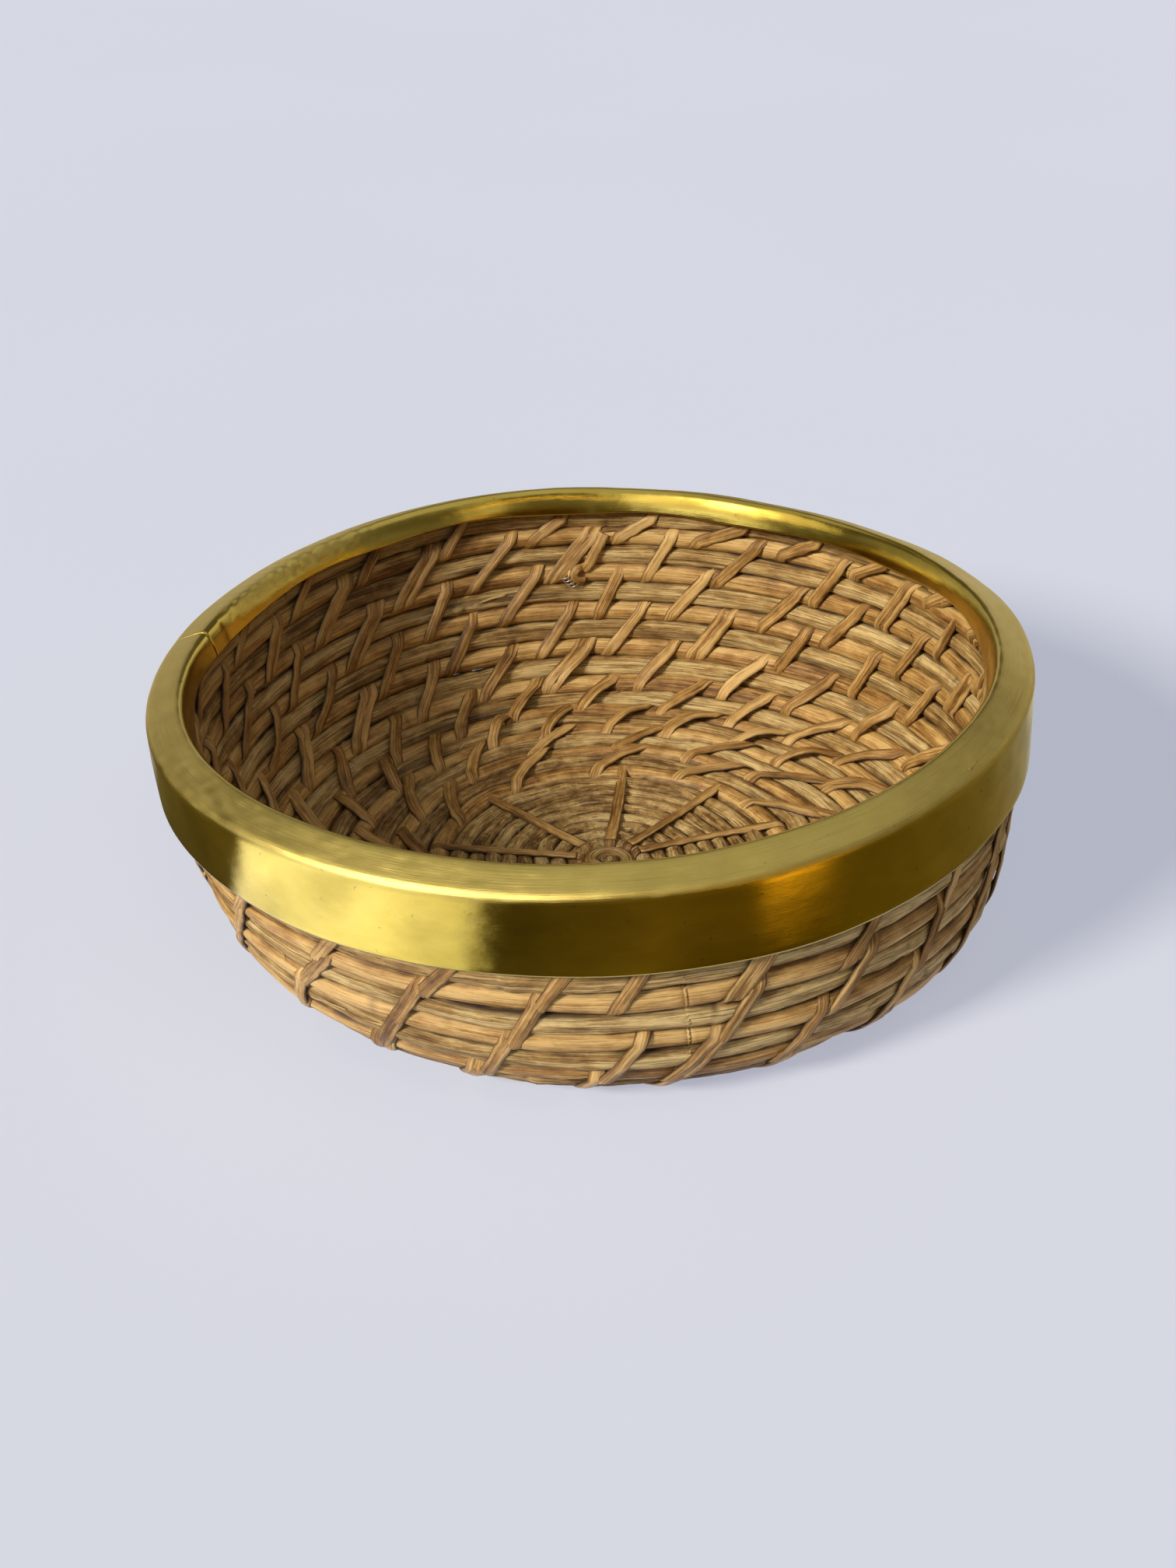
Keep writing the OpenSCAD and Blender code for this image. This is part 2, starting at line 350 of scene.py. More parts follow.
def rattan(name, dark, mid, light, streak_and_shade, rough, fibre):
    """Plant fibre whose streaks run along the grain attribute's x axis."""
    m = Nodes(name)
    g = m.attribute("grain", "Vector")
    tone = m.attribute("tone", "Fac")
    long_ = m.noise(g, (0.010, 0.16, 0.16), 3.0, 0.55)
    fine = m.noise(g, (0.035, 1.3, 1.3), 5.0, 0.72)
    hair = m.noise(g, (0.05, 3.0, 3.0), 3.0, 0.6)
    mott = m.noise(g, (0.11, 0.22, 0.22), 5.0, 0.65)
    k = m.math("ADD", m.math("MULTIPLY", fine, 0.6), m.math("MULTIPLY", long_, 0.62))
    k = m.math("ADD", k, m.math("MULTIPLY", m.math("SUBTRACT", mott, 0.5), 0.35))
    col = m.ramp(k, [(0.46, dark), (0.58, mid), (0.70, light)])
    line = m.ramp(hair, [(0.36, WHITE), (0.48, BLACK)])
    col = m.mix(m.math("MULTIPLY", line, 0.25 + 0.45 * fibre), col, streak_and_shade)
    # tone pulls the colour to the dark streak colour: real splits and node rings, and painted shade in
    # crevices, along strip edges and under strips
    col = m.mix(m.math("MULTIPLY", tone, 1.0, True), col, streak_and_shade)
    b1 = m.bump(fine, 0.45 + 0.5 * fibre, 0.0009)
    b2 = m.bump(hair, 0.35 + 0.6 * fibre, 0.0004, b1)
    m.surface(Base_Color=col, Roughness=m.math("ADD", m.math("MULTIPLY", fine, 0.25), rough - 0.12),
              Specular_IOR_Level=0.38, Normal=b2)
    return m.mat


def brass_material():
    m = Nodes("worked_brass")
    co = m.coords()
    tone = m.attribute("tone", "Fac")
    broad = m.noise(co, (14, 14, 30), 3.0, 0.5)
    mid = m.noise(co, (60, 60, 110), 4.0, 0.6)
    brush = m.noise(m.attribute("grain", "Vector"), (0.03, 2.6, 2.6), 4.0, 0.7)
    pits = m.noise(co, (420, 420, 420), 2.0, 0.5)
    col = m.ramp(m.math("ADD", m.math("MULTIPLY", broad, 0.6), m.math("MULTIPLY", mid, 0.4)),
                 [(0.3, srgb(190, 164, 70)), (0.5, srgb(210, 184, 86)), (0.7, srgb(224, 200, 102))])
    spots = m.ramp(pits, [(0.22, WHITE), (0.30, BLACK)])
    col = m.mix(m.math("MULTIPLY", spots, 0.5), col, srgb(120, 92, 40))
    col = m.mix(m.math("MULTIPLY", tone, 0.5), col, srgb(214, 194, 124))
    grime = m.ramp(brush, [(0.30, WHITE), (0.46, BLACK)])
    col = m.mix(m.math("MULTIPLY", m.math("MULTIPLY", grime, tone), 0.35), col, srgb(120, 104, 52))
    r = m.math("ADD", m.math("MULTIPLY", tone, 0.33), m.math("MULTIPLY", brush, 0.16))
    r = m.math("ADD", r, m.math("MULTIPLY", m.math("SUBTRACT", mid, 0.5), 0.10))
    b1 = m.bump(broad, 0.20, 0.003)
    b2 = m.bump(brush, m.math("ADD", m.math("MULTIPLY", tone, 0.35), 0.06), 0.0004, b1)
    b3 = m.bump(mid, 0.16, 0.0006, b2)
    m.surface(Base_Color=col, Metallic=1.0, Roughness=m.math("ADD", r, 0.03, True), Normal=b3)
    return m.mat


def wire_material():
    m = Nodes("binding_wire")
    n = m.noise(m.coords(), (900, 900, 900), 3.0, 0.6)
    m.surface(Base_Color=m.ramp(n, [(0.3, srgb(150, 142, 128)), (0.7, srgb(214, 208, 196))]),
              Metallic=0.7, Roughness=0.38, Normal=m.bump(n, 0.2, 0.0001))
    return m.mat


MAT_SMOOTH = rattan("smooth_rattan", srgb(106, 66, 20), srgb(180, 134, 70), srgb(228, 187, 116),
                    srgb(58, 34, 14), 0.44, 0.30)
MAT_SPLIT = rattan("split_rattan", srgb(104, 70, 22), srgb(184, 144, 80), srgb(236, 204, 138),
                   srgb(58, 34, 10), 0.60, 1.0)
MAT_CANE = rattan("binding_cane", srgb(104, 68, 26), srgb(176, 131, 68), srgb(226, 185, 116),
                  srgb(52, 31, 12), 0.42, 0.4)
MAT_BRASS = brass_material()
MAT_WIRE = wire_material()


# ------------------------------------------------------------------ core rods
# A turn's stations are its section lengths at its start, half way round, and at its end.
def stations_thin(i):
    if i <= THIN_TURNS:
        return [THIN_START + (i - 1 + h / 2) * THIN_PITCH for h in range(3)]
    return [THIN_END, (THIN_END + GAP_END) / 2, GAP_END]


def stations_rod(j):
    if j == 1:
        return [GAP_END, DOUBLE_START - PITCH, DOUBLE_START]
    if j == 2:
        return [TAIL_START, DOUBLE_START, DOUBLE_START + PITCH]
    return [DOUBLE_START + (j - 2 + h) * PITCH for h in (-1, 0, 1)]


def turn_s(st, phi):
    """Section length of a turn's centre at turn angle phi."""
    phi = np.asarray(phi, float)
    first = phi < 180
    w = (1 - np.cos((phi - np.where(first, 0, 180)) * RAD)) / 2
    a = np.where(first, st[0], st[1])
    b = np.where(first, st[1], st[2])
    return a * (1 - w) + b * w


def split_marks(f, tone, x, al, start, total, rng):
    """Long splits between the fibres, and the stepped lips of the growth nodes."""
    for _ in range(int(total / 55)):
        x0 = start + rng.uniform(0, total)
        length, a0, wide = rng.uniform(8, 42), rng.uniform(0, 2 * math.pi), rng.uniform(0.16, 0.3)
        a0 = a0 + (x - x0) * rng.uniform(-0.006, 0.006)
        da = np.abs((al - a0 + math.pi) % (2 * math.pi) - math.pi)
        g = np.exp(-((x - x0) / length) ** 4) * np.exp(-(da / wide) ** 2)
        f = f - 0.15 * g * (1 - np.abs(np.sin(al)) ** 4)
        tone = np.maximum(tone, 0.75 * g)
    for _ in range(int(total / 120)):
        x0 = start + rng.uniform(0, total)
        a0 = rng.uniform(0, 2 * math.pi)
        skew = 2.0 * np.sin(al - a0)
        g = np.exp(-((x - x0 + skew) / 2.2) ** 2)
        lip = np.exp(-((x - x0 - 3.0 + skew) / 0.9) ** 2)
        f = f + 0.10 * g - 0.07 * lip
        tone = np.maximum(tone, 0.6 * lip * (0.6 + 0.4 * np.sin(3 * al + a0)))
    return f, tone


def smooth_marks(f, tone, x, al, start, total, rng):
    """The low rings of a peeled rod's growth nodes."""
    for _ in range(int(total / 260)):
        x0 = start + rng.uniform(0, total)
        g = np.exp(-((x - x0) / 3.2) ** 2)
        line = np.exp(-((x - x0 - 1.4) / 0.8) ** 2)
        f = f + 0.045 * g - 0.03 * line
        tone = np.maximum(tone, 0.4 * line + 0 * al)
    return f, tone


def rod(st, turn, split, size, seed, taper=None, start=0, end=360):
    """One turn of a core rod. turn counts whole turns along the same strand, so that every
    wave runs on from one turn into the next. size is the half height along the wall's section
    and the half thickness through it."""
    high, thick = size
    m, step = (22, 1.7) if split else (16, 2.6)
    rad = float(np.mean(section(np.array(st))[0]))
    n = max(40, int(2 * math.pi * rad * end / 360 / step))
    phi = np.linspace(start - 0.25, end + 0.25, n)[:, None]
    x = (turn + phi / 360) * TURN_WAVE
    al = around(m)[None, :]
    s = turn_s(st, np.clip(phi, 0, 360))
    if start < 0:
        # before its own turn, a tail lies between the last thin turn and the first rod
        before = 0.5 * (turn_s(stations_thin(THIN_TURNS + 1), phi + 360)
                        + turn_s(stations_rod(1), phi + 360))
        s = np.where(phi < 0, before + (s - before) * np.exp(phi / 12), s)
    s = s + 0.20 * Waves(seed + 1, 6, 60, 400)(x)
    h = 0.34 * Waves(seed + 2, 6, 50, 300)(x)
    big = 1 + 0.022 * Waves(seed + 3, 6, 90, 500)(x)
    if taper is not None:
        big = big * np.interp(phi, *taper)
    f = big * (1 + 0.018 * Waves(seed + 4, 8, 25, 90, 2)(x, al))
    tone = np.zeros((n, m)) + 0.05
    if split:
        f = f + 0.030 * Waves(seed + 5, 16, 18, 160, 9)(x, al)
        f = f + 0.022 * Waves(seed + 6, 12, 9, 60, 11)(x, al)
    mark = split_marks if split else smooth_marks
    rng = np.random.default_rng(seed + int(turn * 7) + 11)
    f, tone = mark(f, tone, x, al, turn * TURN_WAVE, TURN_WAVE * end / 360, rng)
    # painted shade in the crevices between the rods
    crevice_shade = np.clip((np.abs(np.sin(al)) - 0.66) / 0.34, 0, 1) ** 1.4
    tone = np.clip(tone + 0.92 * crevice_shade * (1 + 0.35 * Waves(seed + 8, 8, 8, 70, 3)(x, al)), 0, 1)
    v = place(phi, s, h, high * f * np.sin(al), thick * f * np.cos(al))
    grain = stack(x + 0 * al + seed * 37.0, high * np.sin(al), thick * np.cos(al))
    return handmade(under_rim(v)), tube_faces(n, m), grain, tone


for i in range(1, THIN_TURNS + 2):
    name = f"floor_turn_{i}"
    part = rod(stations_thin(i), i - 1, i % 3 == 0, THIN_SIZE, 500, THIN_TAPER if i > THIN_TURNS else None)
    make_mesh(name + "_visual", part, MAT_SPLIT, name)

for j in range(1, RODS + 1):
    smooth = j % 2 == 1
    size = {1: FIRST_SIZE, RODS: LAST_SIZE}.get(j, SMOOTH_SIZE if smooth else SPLIT_SIZE)
    part = rod(stations_rod(j), (j - 1) // 2, not smooth, size, 100 if smooth else 300,
               {1: FIRST_TAPER, 2: TAIL_TAPER}.get(j), TAIL_FROM if j == 2 else 0, 180 if j == RODS else 360)
    name = f"{'smooth' if smooth else 'split'}_rod_{j:02d}"
    make_mesh(name + "_visual", part, MAT_SMOOTH if smooth else MAT_SPLIT,
              name)


def floor_knot():
    """The knot that the floor starts from: the thin rod coiled in to the middle."""
    n, m = 150, 16
    first, last = -585, 2           # turn angles
    turn = np.linspace(first, last, n)[:, None]
    al = around(m)[None, :]
    mid_r = np.maximum(THIN_START + THIN_PITCH * turn / 360, 0.5)
    size = np.interp(turn, [first, -420, last], [0.75, 1.0, 1.0])
    f = size * (1 + 0.05 * Waves(7, 6, 6, 30, 2)(turn * 0.08, al))
    r = mid_r + 3.15 * f * np.cos(al)
    rise = np.interp(turn, [first, -400, -200], [1.1, 0.5, 0.0])
    th = (SEAM - turn) * RAD
    v = handmade(np.stack([r * np.cos(th), r * np.sin(th), THIN_Z + rise + 2.8 * f * np.sin(al)], -1))
    grain = stack(turn * 0.12, 3 * np.cos(al), 3 * np.sin(al))
    # painted shade on the sides where the knot's turns lie against each other
    return v, tube_faces(n, m), grain, 0.1 + 0.6 * np.abs(np.cos(al)) ** 6 + 0 * turn


make_mesh("floor_knot_visual", floor_knot(), MAT_SPLIT, "floor_knot")


# ------------------------------------------------------------------ flat cane
def ribbon(phi, s, h, ns, nh, x, width, thick, seed):
    """A strip of cane along a path. (ns, nh) is the way its good face looks, in the (s, h) plane,
    and x is the length along it."""
    raw = place(phi, s, h)
    c = handmade(raw)
    n = handmade(place(phi, s + 0.5 * ns, h + 0.5 * nh)) - c
    t = unit(np.gradient(c, axis=0))
    n -= t * np.sum(n * t, 1, keepdims=True)
    n = unit(n)
    w = np.cross(t, n)
    # the strip's own section: a round-edged face with five ridges of fibre, and a flat back
    face = 9
    a = np.concatenate([np.linspace(-1, 1, face), np.linspace(0.93, -0.93, 5)])
    b = np.concatenate([0.5 - 0.62 * np.abs(a[:face]) ** 3.0, np.full(5, -0.5)])
    b[0] = b[face - 1] = -0.12
    ridge = np.zeros(len(a))
    ridge[:face] = np.array([0, 0.05, -0.05, 0.06, -0.04, 0.05, -0.05, 0.04, 0])
    wid = (width / 2) * (1 + 0.055 * Waves(seed + 9, 6, 15, 70)(x)[:, None])
    edge = 0.10 * Waves(seed + 5, 8, 5, 30)(x)[:, None]
    av = a[None, :] * wid + np.where(a[None, :] > 0, edge, -edge) * np.abs(a[None, :])
    curl = 0.05 * Waves(seed + 3, 4, 20, 90)(x)[:, None] * av
    bv = (b + ridge)[None, :] * thick + curl
    v = c[:, None, :] + av[..., None] * w[:, None, :] + bv[..., None] * n[:, None, :]
    room_for_cane = np.array([0, 0, 0.9])
    kept = under_rim(raw + room_for_cane) - room_for_cane
    v = v + (handmade(kept) - c)[:, None, :]
    v[..., 2] = np.maximum(v[..., 2], STRIP_Z)
    grain = stack(x[:, None] + seed * 13.7, av, bv)
    # painted shade along the strip's edges and on its back, where it lies on the rods
    tone = 0.04 + 0.8 * np.clip((np.abs(a[None, :]) - 0.84) / 0.16, 0, 1) + 0.5 * (bv < -0.3 * thick)
    return v, tube_faces(len(x), len(a)), grain, tone


def held_rods(k, phi):
    """Section lengths of the lowest and highest rod that row k holds at turn angle phi."""
    low, top = 2 * k + 1, 2 * k + 3
    c = min(max(phi, 0.0), 360.0)
    if top == RODS and c > 177:
        top -= 1
    return (float(turn_s(stations_rod(low), c)),
            float(turn_s(stations_rod(top), min(c, 180) if top == RODS else c)))


def row_path(k):
    """The cane of row k, one run that winds clockwise: (phi, s, h, ns, nh) of its points."""
    count = ROW_WRAPS[k]
    step = 360.0 / count
    rng = np.random.default_rng(40 + k)
    wraps = []
    for i in sorted(range(count), key=lambda i: (ROW_FIRST[k] + i * step) % 360):
        phi = (ROW_FIRST[k] + i * 360.0 / count) % 360 + rng.normal(0, 0.8)
        wraps.append((phi, min(LEANS[k] * (1 + rng.normal(0, 0.15)), step * 0.78)))
    half = 4.1 if k > 0 else 3.9
    turn_in = 0.16                  # share of a strip's lean that its bends over the rods take
    path = []
    for q, (phi, lean) in enumerate(wraps):
        nxt = wraps[q + 1] if q + 1 < len(wraps) else (phi + step, lean)
        bottom, top, end = phi - lean / 2, phi + lean / 2, nxt[0] - nxt[1] / 2
        up, down = top - bottom, end - top
        lo, hi = held_rods(k, phi)
        on_bend = FLOOR_R - 12 < (lo + hi) / 2 < FLOOR_R + CORNER_LEN + 4
        bow = (2.0 if on_bend else 0.15) * (1 + rng.normal(0, 0.3))

        def cap(p, s, b):
            """A point at angle b round the rod at s, seen along it."""
            path.append((p, s + half * math.sin(b * RAD), CANE_OFF * math.cos(b * RAD),
                         math.sin(b * RAD), math.cos(b * RAD)))

        for b in np.linspace(270, 348, 7):
            cap(bottom + up * turn_in * (b - 270) / 90, lo, b)
        for f in np.linspace(0.0, 1.0, 13):
            lift = bow * (1 - (2 * f - 1) ** 2)
            dip = 0.10 * math.cos(f * 4 * math.pi)
            path.append((bottom + up * (turn_in + (1 - 2 * turn_in) * f), lo + (hi - lo) * f,
                         CANE_OFF + lift + dip, 0.0, 1.0))
        for b in np.linspace(12, 168, 13):
            if b <= 90:
                cap(bottom + up * (1 - turn_in + turn_in * b / 90), hi, b)
            else:
                cap(top + down * turn_in * (b - 90) / 90, hi, b)
        for f in np.linspace(0.0, 1.0, 12):
            dip = 0.10 * math.cos(f * 4 * math.pi)
            path.append((top + down * (turn_in + (1 - 2 * turn_in) * f), hi + (lo - hi) * f,
                         -CANE_OFF - dip, 0.0, -1.0))
        for b in np.linspace(192, 262, 6):
            cap(top + down * (1 - turn_in + turn_in * (b - 180) / 90), lo, b)
    return [np.array(a) for a in zip(*path)]


for k in range(len(ROW_WRAPS)):
    path = row_path(k)
    parts = [ribbon(*path, lengths(place(*path[:3])), CANE_WIDTH, CANE_THICK, 60 + k)]
    # here and there a second strip is laid beside the first, to take up slack
    per_wrap = len(path[0]) // ROW_WRAPS[k]
    rng = np.random.default_rng(140 + k)
    for q in range(ROW_WRAPS[k]):
        if rng.random() < DOUBLED and k > 1:
            phi, s, h, ns, nh = (a[q * per_wrap:(q + 1) * per_wrap].copy() for a in path)
            phi = phi + rng.choice([-1, 1]) * rng.uniform(1.25, 1.9)
            parts.append(ribbon(phi, s, h * 0.965, ns, nh, lengths(place(phi, s, h)),
                                rng.uniform(3.2, 4.8), 1.0, 700 + 30 * k + q))
    make_mesh(f"cane_row_{k + 1}_visual", join_parts(parts), MAT_CANE, f"cane_row_{k + 1}")


def strap(i):
    """A strap over the thin turns, a closed run of the same cane."""
    phi = STRAPS[i]
    s_in = float(turn_s(stations_thin(1), phi)) - 0.6
    s_out = float(turn_s(stations_rod(1), phi)) + 0.2
    drift = np.random.default_rng(900 + i).normal(0, 2.0)
    out = np.linspace(s_in, s_out, 34)
    top = 3.0 + 0.5 + 0.10 * np.cos((out - s_in) / THIN_PITCH * 2 * math.pi)
    b1 = np.linspace(8, 172, 9) * RAD
    b2 = np.linspace(188, 352, 9) * RAD
    s = np.concatenate([out, s_out + 3.5 * np.sin(b1), out[::-1], s_in + 2.6 * np.sin(b2)])
    h = np.concatenate([top, 3.5 * np.cos(b1), -top[::-1], 3.5 * np.cos(b2)])
    ns = np.concatenate([0 * out, np.sin(b1), 0 * out, np.sin(b2)])
    nh = np.concatenate([1 + 0 * out, np.cos(b1), -1 + 0 * out, np.cos(b2)])
    phi = phi + drift * (s - s_in) / (s_out - s_in)
    return ribbon(phi, s, h, ns, nh, lengths(place(phi, s, h)), STRAP_WIDTH, STRAP_THICK, 200 + i)


make_mesh("floor_straps_visual", join_parts([strap(i) for i in range(len(STRAPS))]), MAT_CANE,
          "floor_straps")


# ------------------------------------------------------------------ brass rim
def rim():
    """The channel, bent round into a ring whose ends lap, with the marks of hand work."""
    seg = lengths(RIM_PROFILE)
    along = np.linspace(0, seg[-1], 78)
    r = np.interp(along, seg, RIM_PROFILE[:, 0])
    z = np.interp(along, seg, RIM_PROFILE[:, 1])
    for _ in range(2):
        r[1:-1] = 0.25 * r[:-2] + 0.5 * r[1:-1] + 0.25 * r[2:]
        z[1:-1] = 0.25 * z[:-2] + 0.5 * z[1:-1] + 0.25 * z[2:]
    tr, tz = np.gradient(r), np.gradient(z)
    ln = np.hypot(tr, tz)
    nr, nz = tz / ln, -tr / ln
    # the section's closed outline: the outer face, then the inner face back again
    rr = np.concatenate([r, (r - nr * BRASS_SKIN)[::-1]])[None, :]
    zz = np.concatenate([z, (z - nz * BRASS_SKIN)[::-1]])[None, :]
    nr, nz = (np.concatenate([a, a[::-1]])[None, :] for a in (nr, nz))
    along = np.concatenate([along, along[::-1]])[None, :]
    u = along / seg[-1]             # 0 at the band's edge, 1 at the lip's
    n, overlap = 900, 0.035
    th = (LAP + 0.012 + np.linspace(0, 2 * math.pi + overlap, n))[:, None]
    d = th * NOMINAL_R
    dent, small = Waves(21, 14, 45, 180, 2), Waves(22, 14, 10, 34, 3)
    lip, edge = Waves(23, 6, 70, 320), Waves(24, 6, 60, 300)
    crown = np.exp(-((u - 0.70) / 0.22) ** 2)
    rr = rr + 0 * th + 0.10 * dent(d, u * 3) + 0.012 * small(d, u * 7)
    zz = zz + 0 * th + crown * (0.13 * dent(d + 900, u * 3) + 0.02 * small(d + 300, u * 8))
    to_lip = np.clip((u - 0.80) / 0.2, 0, 1) ** 1.5
    zz = zz + to_lip * (0.55 * lip(d))
    rr = rr - to_lip * 0.25 * lip(d + 400)
    to_hem = np.clip((0.12 - u) / 0.12, 0, 1)
    zz = zz + to_hem * 0.25 * edge(d)
    # the inner shoulder is crumpled where the channel was bent round, on the left
    azimuth = (th / RAD) % 360
    crumple = np.exp(-((azimuth - CRUMPLED_AT) / 16) ** 4) * np.exp(-((u - 0.80) / 0.12) ** 4)
    rr = rr + crumple * 0.13 * Waves(25, 16, 5, 16, 0)(d, u) * np.sin(u * 60 + 2 * Waves(26, 5, 20, 60)(d))
    zz = zz + crumple * 0.16 * Waves(27, 16, 5, 18, 0)(d, u)
    # one end laps over the other
    over = 0.5 + 0.5 * np.tanh((th - (LAP + 0.012 + 2 * math.pi - 0.045)) / 0.008)
    out = -0.05 + 0.55 * np.clip((u - 0.70) / 0.12, 0, 1) ** 2
    rr = rr + over * 0.7 * nr * out
    zz = zz + over * 0.7 * nz * out
    # the top is satin and a little uneven, the band and the lip are polished
    satin = np.clip((u - 0.515) / 0.025, 0, 1) * np.clip((0.80 - u) / 0.03, 0.03, 1) + 0 * th
    mottle = Waves(28, 20, 10, 120, 4)(d, u * 14) * Waves(29, 12, 14, 90, 3)(d + 500, u * 9)
    satin = np.clip(satin * (0.86 + 0.09 * mottle) + 0.7 * crumple + 0.03 * np.abs(mottle), 0, 1)
    v = handmade(np.stack([rr * np.cos(th), rr * np.sin(th), zz], -1))
    return v, tube_faces(n, v.shape[1]), stack(d, along, 0 * d), satin


make_mesh("brass_rim_visual", rim(), MAT_BRASS, "brass_rim")


# ------------------------------------------------------------------ knot, wire and loose fibres
def strand(points, radius, seed, flat=1.0, m=10, taper=0.0, rough=0.05):
    """A thin tube along world points (mm), wider than thick by flat."""
    p = np.asarray(points, float)
    t = unit(np.gradient(p, axis=0))
    w = unit(np.cross(t, unit(-p * np.array([1, 1, 0.0]), 1e-9)), 1e-9)
    n = np.cross(w, t)
    al = around(m)
    x = lengths(p)
    f = radius * (1 - taper * (x / x[-1]) ** 1.5)[:, None]
    f = f * (1 + rough * Waves(seed, 8, 3, 18, 3)(x[:, None], al[None, :]))
    wide, deep = f * np.cos(al) * flat, f * np.sin(al)
    v = p[:, None, :] + wide[..., None] * w[:, None, :] + deep[..., None] * n[:, None, :]
    v[..., 2] = np.maximum(v[..., 2], STRIP_Z)
    return v, tube_faces(len(p), m), stack(x[:, None] + seed * 11.0, wide, deep), np.full(f.shape, 0.1)


def wall(th_deg, z, h):
    """World point (mm) on the inner wall at azimuth th, height z and h in front of the section."""
    s_all = np.linspace(100, 215, 800)
    s = float(np.interp(z, section(s_all)[1], s_all))
    return handmade(place(np.array([SEAM - th_deg]), np.array([s]), np.array([h])))[0]


def spline(pts, n):
    """Smooth curve through points (Catmull-Rom)."""
    p = np.array(pts, float)
    p = np.vstack([2 * p[0] - p[1], p, 2 * p[-1] - p[-2]])
    out = []
    for i in range(1, len(p) - 2):
        for t in np.linspace(0, 1, n, endpoint=False):
            a, b, c, d = p[i - 1], p[i], p[i + 1], p[i + 2]
            out.append(0.5 * (2 * b + (c - a) * t + (2 * a - 5 * b + 4 * c - d) * t ** 2
                              + (3 * b - a - 3 * c + d) * t ** 3))
    out.append(p[-2])
    return np.array(out)


def on_wall(places, n):
    """Curve through (azimuth, height above the knot, height off the wall) places."""
    return spline([wall(th, KNOT_Z + dz, h) for th, dz, h in places], n)


knot = [strand(on_wall([(86.6, 20, 4.6), (88.3, 13, 5.4), (89.7, 7.5, 5.6), (90.7, 4.5, 4.8),
                        (91.3, 3, 2.6)], 12), 0.62, 31, 3.4),
        strand(on_wall([(90.6, 5.6, 3.8), (91.9, 5.0, 5.8), (92.6, 2.6, 6.2), (92.2, 0.2, 5.8),
                        (91.0, -0.6, 4.4)], 12), 1.0, 32, 1.6),
        strand(on_wall([(92.9, 4.0, 4.4), (93.3, 1.0, 5.2), (92.9, -2.0, 4.2)], 14), 0.95, 33, 1.4, taper=0.4)]
make_mesh("cane_knot", join_parts(knot), MAT_CANE)

wires = []
for i in range(4):
    th, dz = 93.9 - i * 0.42, 1.6 - i * 1.25
    loop = on_wall([(th - 0.75, dz + 0.8, 4.4), (th - 0.35, dz + 0.5, 6.4), (th + 0.3, dz - 0.1, 6.9),
                    (th + 0.9, dz - 0.7, 5.8), (th + 1.15, dz - 0.9, 4.0)], 10)
    wires.append(strand(loop, 0.26, 70 + i, 1.0, 8, rough=0.02))
make_mesh("knot_wire", join_parts(wires), MAT_WIRE)


def loose_fibre(i, rng):
    inside = rng.random() < 0.6
    phi = rng.uniform(0, 360)
    j = 2 * rng.integers(2, 9) + rng.integers(0, 3)
    s = float(turn_s(stations_rod(int(min(j, RODS - 1))), phi)) + rng.uniform(-3, 3)
    length = rng.uniform(5, 16)
    bow = rng.uniform(0.5, 2.2)
    u = np.linspace(0, 1, 9)
    turned = rng.choice([-1, 1]) * length / 140 / RAD
    rise = rng.normal(0, 1.6)
    h = (1 if inside else -1) * (3.2 + bow * u ** 1.3)
    points = handmade(place(phi + turned * u, s + rise * u ** 2, h))
    return strand(points, rng.uniform(0.18, 0.48), 200 + i, 1.7, 5, taper=0.85)


rng = np.random.default_rng(77)
make_mesh("loose_fibres", join_parts([loose_fibre(i, rng) for i in range(FIBRES)]), MAT_SPLIT)


# ------------------------------------------------------------------ stage, light and camera
def stage_piece(name, verts, faces, mat, hidden=()):
    """A piece of the set, in metres, that the hidden kinds of ray pass by."""
    me = bpy.data.meshes.new(name)
    me.from_pydata(verts, [], faces)
    me.shade_smooth()
    me.materials.append(mat)
    ob = bpy.data.objects.new(name, me)
    bpy.context.scene.collection.objects.link(ob)
    for kind in hidden:
        setattr(ob, "visible_" + kind, False)


def round_wall(profile, n):
    """Verts and faces of a surface of revolution with this (radius, height) profile."""
    verts = [(r * math.cos(2 * math.pi * j / n), r * math.sin(2 * math.pi * j / n), z)
             for r, z in profile for j in range(n)]
    faces = [(i * n + j, i * n + (j + 1) % n, (i + 1) * n + (j + 1) % n, (i + 1) * n + j)
             for i in range(len(profile) - 1) for j in range(n)]
    return verts, faces


def floor():
    paper = (0.36, 0.37, 0.39)
    m = Nodes("paper")
    n = m.noise(m.coords(), (2, 2, 2), 2.0, 0.5)
    m.surface(Base_Color=m.ramp(n, [(0.35, tuple(c * 0.985 for c in paper)),
                                    (0.65, tuple(c * 1.015 for c in paper))]),
              Roughness=0.6, Specular_IOR_Level=0.0,
              Emission_Color=(0.748, 0.802, 1.0), Emission_Strength=0.492)
    stage_piece("floor", [(-6, -6, 0), (6, -6, 0), (6, 6, 0), (-6, 6, 0)], [(0, 1, 2, 3)], m.mat)


def backdrop():
    """A pale wall all round, far off, that only the camera sees and that casts no light."""
    m = Nodes("backdrop_paper")
    cloud = m.noise(m.coords(), (0.4, 0.4, 0.4), 2.0, 0.5)
    m.glow(m.ramp(cloud, [(0.35, (0.672, 0.692, 0.757)), (0.65, (0.684, 0.702, 0.766))]))
    stage_piece("backdrop", *round_wall([(5.8, 0.0), (5.8, 9.0)], 96), m.mat,
                ("diffuse", "glossy", "shadow", "transmission", "volume_scatter"))


ROOM_PROFILE = [(0.162, 0.002), (0.20, 0.003), (0.24, 0.006), (0.29, 0.02), (0.36, 0.06), (0.45, 0.13),
                (0.56, 0.24), (0.66, 0.40), (0.72, 0.58), (0.72, 0.78), (0.64, 0.98), (0.48, 1.12),
                (0.26, 1.2), (0.02, 1.22)]
